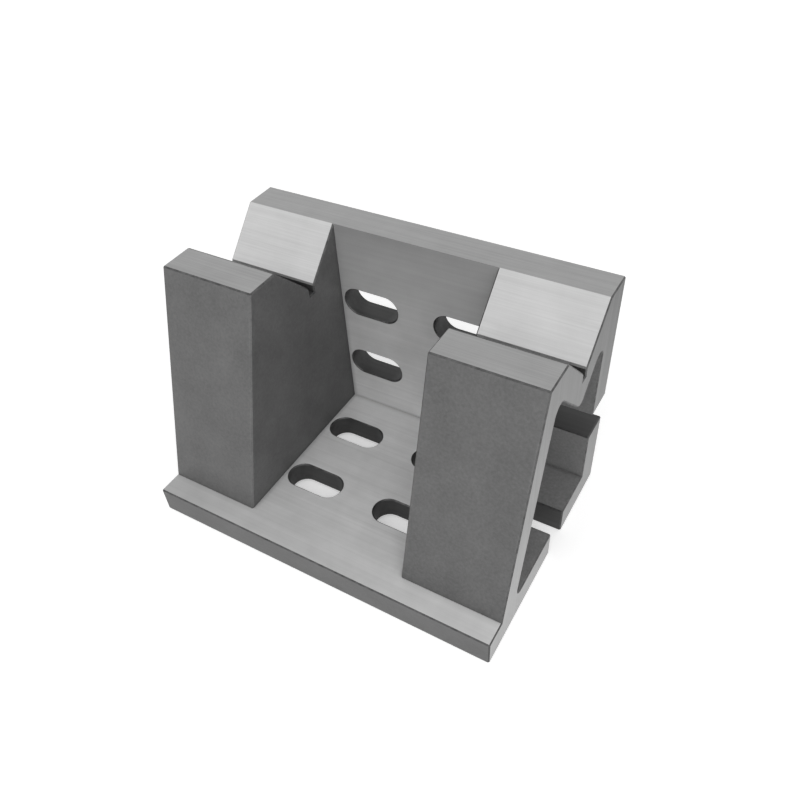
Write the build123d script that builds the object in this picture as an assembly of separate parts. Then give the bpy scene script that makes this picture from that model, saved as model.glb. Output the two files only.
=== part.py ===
from build123d import *
import os
from math import radians, sin, tan

os.makedirs("parts", exist_ok=True)

# V angle plate, one casting. Its two plates stand square to each other, and a hollow web
# closes each end and carries half of a V groove. X runs along the plate, +Y points to the
# back of the upright plate, +Z up. The origin is the middle of the underside.

# The two plates, in millimetres
length = 152.4
depth = 101.6
height = 101.6
base_thickness = 12.0
back_thickness = 14.0

# End webs
channel_width = 70.0    # clear space between the two webs
toe = 10.0              # strip of the base left in front of a web
web_top = 66.0          # front edge of a web's top to the back of the upright plate

# V groove through the tops of both webs
v_opening = 38.0
v_angle = 90.0
groove_width = 3.0      # slot that clears the bottom of the V
groove_depth = 21.0     # below the tops of the webs

# Pocket that hollows each web from its outer end
skin = 11.0             # metal left around the pocket
pocket_radius = 4.0

# Clamping slots, one set of two by two in each plate
slot_length = 25.0
slot_width = 12.0
slot_gap = 20.0         # metal between one row and the next
slot_to_web = 1.5       # metal between a slot and the web beside it

# Shallow recess behind each set of slots, which leaves a flat rim to bear on
slot_metal = 10.0       # thickness of a plate at its slots
recess_border = 7.5     # from the outer slots to the edge of the recess
recess_radius = 6.0

# Notches open at the ends, which leave a square heel where the plates meet
heel_leg = 35.0
notch_width = 12.0
notch_to_web = 5.0      # from the round end of a notch to the pocket's inner wall

edge_break = 0.5

# Places that follow from the sizes above
end = length / 2
rear = depth / 2
front = -rear
back_face = rear - back_thickness
web_width = (length - channel_width) / 2
web_foot = front + toe
web_brow = rear - web_top
v_middle = back_face - v_opening / 2
half_angle = radians(v_angle / 2)
groove_top = height - (v_opening - groove_width) / 2 / tan(half_angle)
groove_floor = height - groove_depth
slot_columns = channel_width - 2 * slot_to_web - slot_length
slot_rows = slot_gap + slot_width
notch_length = web_width - skin - notch_to_web


def along(profile, x_from, x_to):
    """Runs a profile drawn in Y and Z from one place on X to another."""
    return extrude(Plane.YZ.offset(x_from) * profile, x_to - x_from)


def both_ends(solid):
    return solid + mirror(solid, Plane.YZ)


# Two plates at right angles
ell = make_face(Polyline(
    (front, 0), (rear, 0), (rear, height), (back_face, height),
    (back_face, base_thickness), (front, base_thickness), close=True))
casting = along(ell, -end, end)

# A web leans back from the toe to its flat top
web = make_face(Polyline(
    (web_foot, 0), (web_foot, base_thickness), (web_brow, height), (rear, height), (rear, 0),
    close=True))
casting += both_ends(along(web, end - web_width, end))

# V groove, whose rear lip is the front face of the upright plate
vee = make_face(Polyline(
    (v_middle - v_opening / 2, height), (v_middle + v_opening / 2, height),
    (v_middle + groove_width / 2, groove_top), (v_middle + groove_width / 2, groove_floor),
    (v_middle - groove_width / 2, groove_floor), (v_middle - groove_width / 2, groove_top),
    close=True))
casting -= along(vee, -end, end)

# The pocket follows the web's leaning front, both flanks of the V, the upright plate and the
# base. Its front line is found from the web's, and its top lines from the V's. Only its
# corner at the heel is sharp.
lean = (web_brow - web_foot) / (height - base_thickness)
pocket_foot = web_foot + skin * (1 + lean ** 2) ** 0.5
vee_bottom = height - v_opening / 2 / tan(half_angle)
pocket_vee = vee_bottom - skin / sin(half_angle)
rise = 1 / tan(half_angle)
brow_height = ((pocket_vee + rise * (v_middle - pocket_foot) + rise * lean * base_thickness)
               / (1 + rise * lean))
pocket = make_face(FilletPolyline(
    (pocket_foot, base_thickness),
    (pocket_foot + lean * (brow_height - base_thickness), brow_height),
    (v_middle, pocket_vee),
    (back_face, pocket_vee + rise * (back_face - v_middle)),
    (back_face, base_thickness),
    radius=4 * [pocket_radius] + [0], close=True))
casting -= both_ends(along(pocket, end - web_width + skin, end))

# Clamping slots and the recess behind them, both in the middle of each plate
slots = Sketch() + [place * SlotOverall(slot_length, slot_width)
                    for place in GridLocations(slot_columns, slot_rows, 2, 2)]
recess = RectangleRounded(slot_columns + slot_length + 2 * recess_border,
                          slot_rows + slot_width + 2 * recess_border, recess_radius)
back_middle = Plane((0, rear, height / 2), x_dir=(1, 0, 0), z_dir=(0, -1, 0))
for underneath, thickness in ((Plane.XY, base_thickness), (back_middle, back_thickness)):
    casting -= extrude(underneath * recess, thickness - slot_metal)
    casting -= extrude(underneath * slots, thickness)

# Notches open at the ends; each starts one heel leg from the heel's outer corner
notch = SlotOverall(2 * notch_length, notch_width)
notch_offset = heel_leg + notch_width / 2
for x in (-end, end):
    casting -= extrude(Plane.XY * Pos(x, rear - notch_offset) * notch, base_thickness)
    casting -= extrude(
        Plane((x, rear, notch_offset), x_dir=(1, 0, 0), z_dir=(0, -1, 0)) * notch, back_thickness)

# Every outer corner is broken, apart from the rear lip of the V and the edge of the upright
# plate in line with it
def is_broken(edge):
    middle = edge.center()
    on_rear_lip = abs(middle.Y - back_face) + abs(middle.Z - height) < edge_break
    return not edge.is_interior and not on_rear_lip


casting = chamfer(casting.edges().filter_by(is_broken), edge_break)

export_step(casting, "parts/v_angle_plate.step")
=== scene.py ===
from math import pi, radians

import bpy
from mathutils import Matrix, Vector


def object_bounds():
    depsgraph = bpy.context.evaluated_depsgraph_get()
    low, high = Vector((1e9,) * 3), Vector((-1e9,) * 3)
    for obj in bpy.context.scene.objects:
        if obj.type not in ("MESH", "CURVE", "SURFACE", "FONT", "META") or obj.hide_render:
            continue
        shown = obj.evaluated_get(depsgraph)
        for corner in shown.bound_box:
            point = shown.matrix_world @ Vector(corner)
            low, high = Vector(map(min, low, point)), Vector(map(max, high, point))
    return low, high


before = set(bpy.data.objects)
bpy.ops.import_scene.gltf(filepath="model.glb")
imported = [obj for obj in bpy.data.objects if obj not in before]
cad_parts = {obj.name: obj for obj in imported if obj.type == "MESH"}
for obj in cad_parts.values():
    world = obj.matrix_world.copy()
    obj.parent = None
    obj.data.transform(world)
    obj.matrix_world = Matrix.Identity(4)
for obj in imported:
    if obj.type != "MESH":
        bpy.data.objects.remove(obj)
cad_low, cad_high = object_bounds()

# The v-angle plate keeps the mesh of its CAD model. Each face gets the finish of its place on
# the casting, and the plate stands on a pale floor in a white room. Lengths are in metres.
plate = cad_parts["v_angle_plate"]
millimetre = 0.001
x_axis, z_axis = 0, 2

# Sizes of the casting
base_thickness = 12 * millimetre
back_thickness = 14 * millimetre
channel_width = 70 * millimetre     # between the two webs
toe = 10 * millimetre               # strip of the base in front of a web
web_top = 66 * millimetre           # front edge of a web's top to the back of the plate
skin = 11 * millimetre              # metal around the pocket of a web
v_opening = 38 * millimetre         # at the top of the V, whose angle is 90 degrees
groove_width = 3 * millimetre       # at the bottom of the V
slot_metal = 10 * millimetre        # left at the slots by the recesses behind them
edge_break = 0.5 * millimetre

# Planes that follow from them
floor_z = cad_low.z + base_thickness
wall_y = cad_high.y - back_thickness
web_x = channel_width / 2
pocket_x = web_x + skin
web_foot_y = cad_low.y + toe
web_brow_y = cad_high.y - web_top
pocket_top = cad_high.z - skin
groove_top = cad_high.z - (v_opening - groove_width) / 2
recess_z = floor_z - slot_metal
recess_y = wall_y + slot_metal
below_top = cad_high.z - 2 * edge_break

# Which way the slanting faces look: the front of a web and both flanks of the V
web_front = Vector((0, floor_z - cad_high.z, web_brow_y - web_foot_y)).normalized()
v_flanks = [Vector((0, y, 1)).normalized() for y in (-1, 1)]

slack = 0.02 * millimetre    # two places closer than this are one
aligned = 0.9999             # a face looks in a direction that its normal has more of than this
parallel = 0.01              # and it runs along an axis that its normal has less of than this


def near(a, b):
    return abs(a - b) < slack


def flat_zone(normal, x, y, z):
    """Finish of a face that looks straight along X, Y or Z. x is how far it is from the middle."""
    in_channel = x < web_x + edge_break
    if near(z, cad_low.z) or near(z, cad_high.z) or near(y, cad_high.y):
        return "ground"
    if near(x, cad_high.x):
        return "ground_end"
    if normal.z > aligned and near(z, floor_z) and (in_channel or y < web_foot_y):
        return "milled_floor"
    if normal.y < -aligned and near(y, wall_y) and in_channel:
        return "milled_wall"
    if x < pocket_x and (y > recess_y - edge_break or z < recess_z + edge_break):
        return "cast"
    # What lies off these planes is a wall of a slot, a notch or the groove
    on_web = near(x, web_x) or near(x, pocket_x)
    if not (on_web or near(y, cad_low.y) or near(y, wall_y) or near(z, floor_z)):
        return "bore"
    in_pocket = x > pocket_x - edge_break and web_foot_y < y < cad_high.y - edge_break
    return "pocket" if in_pocket else "cast"


def zone(face):
    """Finish of a face, from where it lies and which way it looks."""
    normal = face.normal
    x, y, z = abs(face.center.x), face.center.y, face.center.z
    if max(abs(normal.x), abs(normal.y), abs(normal.z)) > aligned:
        return flat_zone(normal, x, y, z)
    if normal.dot(web_front) > aligned:
        return "cast"
    before_wall = web_foot_y < y < wall_y
    on_flank = any(normal.dot(flank) > aligned for flank in v_flanks)
    if on_flank and before_wall and groove_top < z < below_top:
        return "vee"
    if abs(normal.x) < parallel and before_wall and x > pocket_x and floor_z < z < pocket_top:
        return "pocket"
    # The paint runs over the corner between a web's front and its inner side
    if web_x < x < web_x + edge_break and y < web_brow_y - edge_break and floor_z < z < below_top:
        return "cast"
    # Round walls of slots and notches run straight through the base or the upright plate
    in_base = edge_break < z < floor_z - edge_break
    in_back = wall_y + edge_break < y < cad_high.y - edge_break and z < below_top
    if (in_base and abs(normal.z) < parallel) or (in_back and abs(normal.y) < parallel):
        return "bore"
    return "edge"


def grey(tone):
    return (tone, tone, tone, 1)


class Nodes:
    """Short calls for the nodes of one tree."""

    def __init__(self, tree):
        self.tree = tree

    def plug(self, socket, value):
        """Links an output to the socket, or sets the socket to a plain value."""
        if isinstance(value, bpy.types.NodeSocket):
            self.tree.links.new(value, socket)
        else:
            socket.default_value = value

    def fill(self, node, inputs):
        """Plugs each input of the node that is named here."""
        for name, value in inputs.items():
            self.plug(node.inputs[name.replace("_", " ")], value)

    def add(self, kind, settings=None, **inputs):
        """A new node with these settings of its own and these inputs."""
        made = self.tree.nodes.new(kind)
        for name, value in (settings or {}).items():
            setattr(made, name, value)
        self.fill(made, inputs)
        return made

    def pair(self, kind, a, b, settings=None):
        """A node whose first two inputs have one name."""
        made = self.add(kind, settings)
        self.plug(made.inputs[0], a)
        self.plug(made.inputs[1], b)
        return made

    def math(self, operation, a, b):
        return self.pair("ShaderNodeMath", a, b, {"operation": operation}).outputs["Value"]

    def span(self, value, to_low, to_high, from_low=0.3, from_high=0.7, course="LINEAR"):
        """The value, taken from one range to another and kept inside that."""
        made = self.add("ShaderNodeMapRange", {"interpolation_type": course}, Value=value,
                        From_Min=from_low, From_Max=from_high, To_Min=to_low, To_Max=to_high)
        return made.outputs["Result"]

    def object_place(self):
        """Places on the object, measured from its own origin."""
        return self.add("ShaderNodeTexCoord").outputs["Object"]

    def shown_strength(self, shown, lit):
        """One strength where the camera, a reflection or clear glass looks, another as light."""
        rays = self.add("ShaderNodeLightPath").outputs
        seen = self.math("MAXIMUM", rays["Is Camera Ray"], rays["Is Glossy Ray"])
        seen = self.math("MAXIMUM", seen, rays["Is Transmission Ray"])
        return self.span(seen, lit, shown, from_low=0.0, from_high=1.0)


class Shader(Nodes):
    """A material with one Principled shader, and short calls for its colours and bumps."""

    def __init__(self, name):
        self.material = bpy.data.materials.new(name)
        self.material.use_nodes = True
        super().__init__(self.material.node_tree)
        self.place = self.object_place()

    def noise(self, cells, detail=3.0, roughness=0.55, lines=None):
        """Noise with this many cells to the metre. To draw it out into lines along an axis,
        lines holds that axis and how many cells there are along it."""
        scale = [cells] * 3
        if lines is not None:
            axis, along = lines
            scale[axis] = along
        spread = self.add("ShaderNodeMapping", Vector=self.place, Scale=scale).outputs["Vector"]
        made = self.add("ShaderNodeTexNoise", Vector=spread, Scale=1.0, Detail=detail,
                        Roughness=roughness)
        return made.outputs["Fac"]

    def blend(self, *parts):
        """Sum of (share, value) pairs."""
        total = None
        for share, value in parts:
            part = self.math("MULTIPLY", value, share)
            total = part if total is None else self.math("ADD", total, part)
        return total

    def ramp(self, value, dark, light, low=0.34, high=0.66):
        """The dark grey for values up to low, the light one from high on, and tones between."""
        made = self.add("ShaderNodeValToRGB", Fac=value)
        for stop, position, tone in zip(made.color_ramp.elements, (low, high), (dark, light)):
            stop.position = position
            stop.color = grey(tone)
        return made.outputs["Color"]

    def mix(self, share, under, over):
        """One colour over another. The node has sockets of each name for other types too."""
        made = self.add("ShaderNodeMix", {"data_type": "RGBA"})
        sockets = {socket.identifier: socket for socket in (*made.inputs, *made.outputs)}
        self.plug(sockets["Factor_Float"], share)
        self.plug(sockets["A_Color"], under)
        self.plug(sockets["B_Color"], over)
        return sockets["Result_Color"]

    def painted_shade_gradient(self, colour, start, end, share):
        """Painted shade: the colour, darker and darker from start to end, where this share of it is
        the dark grey.
        """
        painted_shade = grey(0.1)
        way = (end - start) / (end - start).length_squared
        reach = self.pair("ShaderNodeVectorMath", self.place, way, {"operation": "DOT_PRODUCT"})
        begins = way.dot(start)
        over = self.span(reach.outputs["Value"], 0.0, share, begins, begins + 1.0)
        return self.mix(over, colour, painted_shade)

    def near_corner(self, width, outer=True):
        """1 at an outer or inner corner, falling to 0 a little way from it."""
        settings = {"inside": outer, "only_local": True, "samples": 6}
        seen = self.add("ShaderNodeAmbientOcclusion", settings, Distance=width)
        return self.span(seen.outputs["AO"], 1.0, 0.0, from_low=0.55, from_high=0.95)

    def painted_corner_shade(self, colour, share, tone):
        """The colour with this share of painted shade in the inner corners, found by ambient
        occlusion.
        """
        inner = self.near_corner(2.2 * millimetre, outer=False)
        return self.mix(self.math("MULTIPLY", inner, share), colour, grey(tone))

    def bump(self, height, depth, strength, **inputs):
        """Bumps of this depth, on top of others where those are given as Normal."""
        made = self.add("ShaderNodeBump", Height=height, Distance=depth, Strength=strength, **inputs)
        return made.outputs["Normal"]

    def finish(self, **inputs):
        """The material, with these inputs on its shader."""
        self.fill(self.tree.nodes["Principled BSDF"], inputs)
        return self.material


def ground(name, axis, dark, light, rough, painted_shade=None):
    """Iron off the surface grinder: fine lines along one axis over a faint mottle. It may be given
    painted shade across the face: where that starts, where it ends and its share there."""
    iron = Shader(name)
    lines = iron.noise(1700.0, detail=2.0, lines=(axis, 25.0))
    bands = iron.noise(420.0, lines=(axis, 9.0))
    mottle = iron.noise(55.0, detail=5.0, roughness=0.6)
    colour = iron.ramp(iron.blend((0.4, lines), (0.25, bands), (0.35, mottle)), dark, light)
    if painted_shade is not None:
        # Painted shade, darker across the face
        colour = iron.painted_shade_gradient(colour, *painted_shade)
    roughness = iron.span(bands, rough - 0.05, rough + 0.06)
    normal = iron.bump(lines, depth=0.02 * millimetre, strength=0.5)
    return iron.finish(Base_Color=colour, Metallic=0.9, Roughness=roughness, Normal=normal)


def milled(name, dark, light, rough, metallic=0.0, painted_shade=None):
    """Faces off the milling machine, with feed lines along the channel and painted shade in the inner
    corners. They may also be given painted shade across the face, as ground ones."""
    iron = Shader(name)
    feed = iron.noise(620.0, detail=2.0, lines=(x_axis, 10.0))
    patches = iron.noise(90.0, detail=4.0)
    unshaded = iron.ramp(iron.blend((0.5, feed), (0.5, patches)), dark, light)
    if painted_shade is not None:
        # Painted shade, darker across the face
        unshaded = iron.painted_shade_gradient(unshaded, *painted_shade)
    # Painted shade in the inner corners
    colour = iron.painted_corner_shade(unshaded, share=0.65, tone=0.5 * dark)
    roughness = iron.span(patches, rough - 0.05, rough + 0.07)
    normal = iron.bump(feed, depth=0.03 * millimetre, strength=0.5)
    return iron.finish(Base_Color=colour, Metallic=metallic, Roughness=roughness, Normal=normal)


def cast(name, dark, light, rough):
    """Painted sand casting: a fine grain over a slow ripple, rubbed to bare metal at the outer
    corners, with painted shade in the inner corners.
    """
    iron = Shader(name)
    grain = iron.noise(900.0, detail=4.0, roughness=0.65)
    ripple = iron.noise(150.0, detail=2.0)
    mottle = iron.noise(60.0, detail=5.0, roughness=0.6)
    paint = iron.ramp(iron.blend((0.4, mottle), (0.6, grain)), dark, light)
    chips = iron.noise(380.0, detail=5.0, roughness=0.7)
    stretches = iron.noise(45.0, detail=1.0)
    wear = iron.blend((0.6, chips), (0.4, stretches))
    worn = iron.span(wear, 0.0, 1.0, from_low=0.46, from_high=0.6)
    rubbed = iron.math("MULTIPLY", iron.near_corner(1.4 * millimetre), worn)
    bare = iron.ramp(grain, 0.15, 0.22, low=0.3, high=0.7)
    # Painted shade in the inner corners, over the paint and its worn corners
    colour = iron.painted_corner_shade(iron.mix(rubbed, paint, bare), share=0.5, tone=0.4 * dark)
    metallic = iron.math("MULTIPLY", rubbed, 0.8)
    roughness = iron.span(grain, rough - 0.07, rough + 0.08)
    ripples = iron.bump(ripple, depth=0.25 * millimetre, strength=0.5)
    normal = iron.bump(grain, depth=0.12 * millimetre, strength=0.7, Normal=ripples)
    return iron.finish(Base_Color=colour, Metallic=metallic, Roughness=roughness, Normal=normal)


def edge(name, dark, light, rough):
    """Bare metal where the corners are broken, dark and slightly nicked."""
    iron = Shader(name)
    nicks = iron.noise(420.0, detail=4.0, roughness=0.7)
    colour = iron.ramp(nicks, dark, light, low=0.35, high=0.65)
    roughness = iron.span(nicks, rough + 0.1, rough - 0.05)
    normal = iron.bump(nicks, depth=0.06 * millimetre, strength=0.6)
    return iron.finish(Base_Color=colour, Metallic=0.8, Roughness=roughness, Normal=normal)


# Painted shade for how the light falls: faces get darker between these points: the ends from low on
# them to their top at the back, the floor from the foot of the left web to the left end of the toe,
# the wall from foot to top
toe_corner = Vector((0, cad_low.y, cad_low.z))
top_corner = Vector((0, cad_high.y, cad_high.z))
low_on_end = toe_corner.lerp(top_corner, 0.2)
web_corner = Vector((-web_x, wall_y, floor_z))
toe_end = Vector((cad_low.x, cad_low.y, floor_z))
wall_foot = Vector((0, wall_y, floor_z))
wall_top = Vector((0, wall_y, cad_high.z))

finishes = {
    "ground": ground("ground_iron", x_axis, dark=0.29, light=0.37, rough=0.38),
    # Painted light and shade: the ends get a lighter copy of the ground iron, with painted shade
    # towards the top at the back
    "ground_end": ground("ground_iron_end_painted_light", z_axis, dark=0.38, light=0.46, rough=0.6,
                         painted_shade=(low_on_end, top_corner, 0.78)),
    # Painted light: the V flanks get a lighter copy of the ground iron, standing in for the light
    # they catch
    "vee": ground("ground_vee_painted_light", x_axis, dark=0.53, light=0.64, rough=0.36),
    "milled_floor": milled("milled_iron", dark=0.60, light=0.72, rough=0.5,
                           painted_shade=(web_corner, toe_end, 0.42)),
    "milled_wall": milled("milled_iron_wall", dark=0.58, light=0.70, rough=0.5,
                          painted_shade=(wall_foot, wall_top, 0.76)),
    "cast": cast("cast_iron_painted", dark=0.075, light=0.125, rough=0.5),
    # Painted light: the pocket faces get a lighter copy of the painted cast iron, standing in for the
    # light that reaches into the pocket
    "pocket": cast("cast_iron_pocket_painted_light", dark=0.15, light=0.23, rough=0.5),
    # Painted shade: the walls of slots, notches and the groove get a near-black iron that stands in
    # for the shade inside them
    "bore": milled("slot_iron_painted_shade", dark=0.035, light=0.055, rough=0.55, metallic=0.2),
    "edge": edge("broken_edge", dark=0.07, light=0.13, rough=0.42),
}

# One slot of the mesh for each finish, and each face in the slot of its own
plate.data.materials.clear()
for material in finishes.values():
    plate.data.materials.append(material)
order = list(finishes)
for face in plate.data.polygons:
    face.material_index = order.index(zone(face))


def pale_floor():
    """Pale and matt. Where the camera or a reflection sees it, it also glows, and slightly more
    farther out, where less lamp light falls on it."""
    material = bpy.data.materials.new("pale_floor")
    material.use_nodes = True
    nodes = Nodes(material.node_tree)
    nodes.tree.nodes.clear()
    matt = nodes.add("ShaderNodeBsdfDiffuse", Color=grey(0.86))
    distance = nodes.add("ShaderNodeVectorMath", {"operation": "LENGTH"}, Vector=nodes.object_place())
    farther = nodes.span(distance.outputs["Value"], 0.42, 0.64, from_low=0.22, from_high=0.8,
                         course="SMOOTHSTEP")
    strength = nodes.math("MULTIPLY", farther, nodes.shown_strength(1.0, 0.0))
    glow = nodes.add("ShaderNodeEmission", Strength=strength)
    both = nodes.pair("ShaderNodeAddShader", matt.outputs["BSDF"], glow.outputs["Emission"])
    nodes.add("ShaderNodeOutputMaterial", Surface=both.outputs["Shader"])
    return material


def add_floor(side):
    half = side / 2
    corners = [(-half, -half, 0), (half, -half, 0), (half, half, 0), (-half, half, 0)]
    mesh = bpy.data.meshes.new("floor")
    mesh.from_pydata(corners, [], [(0, 1, 2, 3)])
    mesh.materials.append(pale_floor())
    floor = bpy.data.objects.new("floor", mesh)
    floor.location.z = cad_low.z
    bpy.context.scene.collection.objects.link(floor)


def add_room():
    """White to look at all round, and half as strong as light."""
    world = bpy.data.worlds.new("studio")
    world.use_nodes = True
    nodes = Nodes(world.node_tree)
    strength = nodes.shown_strength(1.0, 0.5)
    nodes.fill(nodes.tree.nodes["Background"], {"Color": grey(1), "Strength": strength})
    bpy.context.scene.world = world


def softbox(name, towards, distance, size, brightness):
    """A square lamp in that direction from the plate, facing it. A brightness of 1 is white.
    It lights the plate, and what metal mirrors is the white room."""
    lamp = bpy.data.lights.new(name, "AREA")
    lamp.shape = "SQUARE"
    lamp.size = size
    lamp.energy = brightness * pi * size ** 2
    holder = bpy.data.objects.new(name, lamp)
    bpy.context.scene.collection.objects.link(holder)
    holder.visible_glossy = False
    centre = (cad_low + cad_high) / 2
    holder.location = centre + Vector(towards).normalized() * distance
    holder.rotation_euler = (holder.location - centre).to_track_quat("Z", "Y").to_euler()


add_floor(side=8.0)
add_room()
softbox("key", towards=(0.2, -0.70, 0.68), distance=1.3, size=1.4, brightness=1.5)
softbox("side", towards=(0.85, -0.38, 0.40), distance=1.3, size=1.1, brightness=1.2)

# Camera at the photograph's viewing angle
eye = Vector((128.62, -176.90, 255.42)) * millimetre
azimuth, elevation, roll = radians(33.70), radians(44.63), radians(-4.63)
turn = (Matrix.Rotation(azimuth, 4, "Z") @ Matrix.Rotation(pi / 2 - elevation, 4, "X")
        @ Matrix.Rotation(roll, 4, "Z"))
camera = bpy.data.objects.new("camera", bpy.data.cameras.new("camera"))
bpy.context.scene.collection.objects.link(camera)
camera.matrix_world = Matrix.Translation(eye) @ turn
camera.data.sensor_width = 36.0
camera.data.lens = 34.80
camera.data.shift_x = 0.00625
camera.data.shift_y = 0.03
camera.data.clip_start = 10 * millimetre
bpy.context.scene.camera = camera
bpy.context.scene.view_settings.view_transform = "Standard"
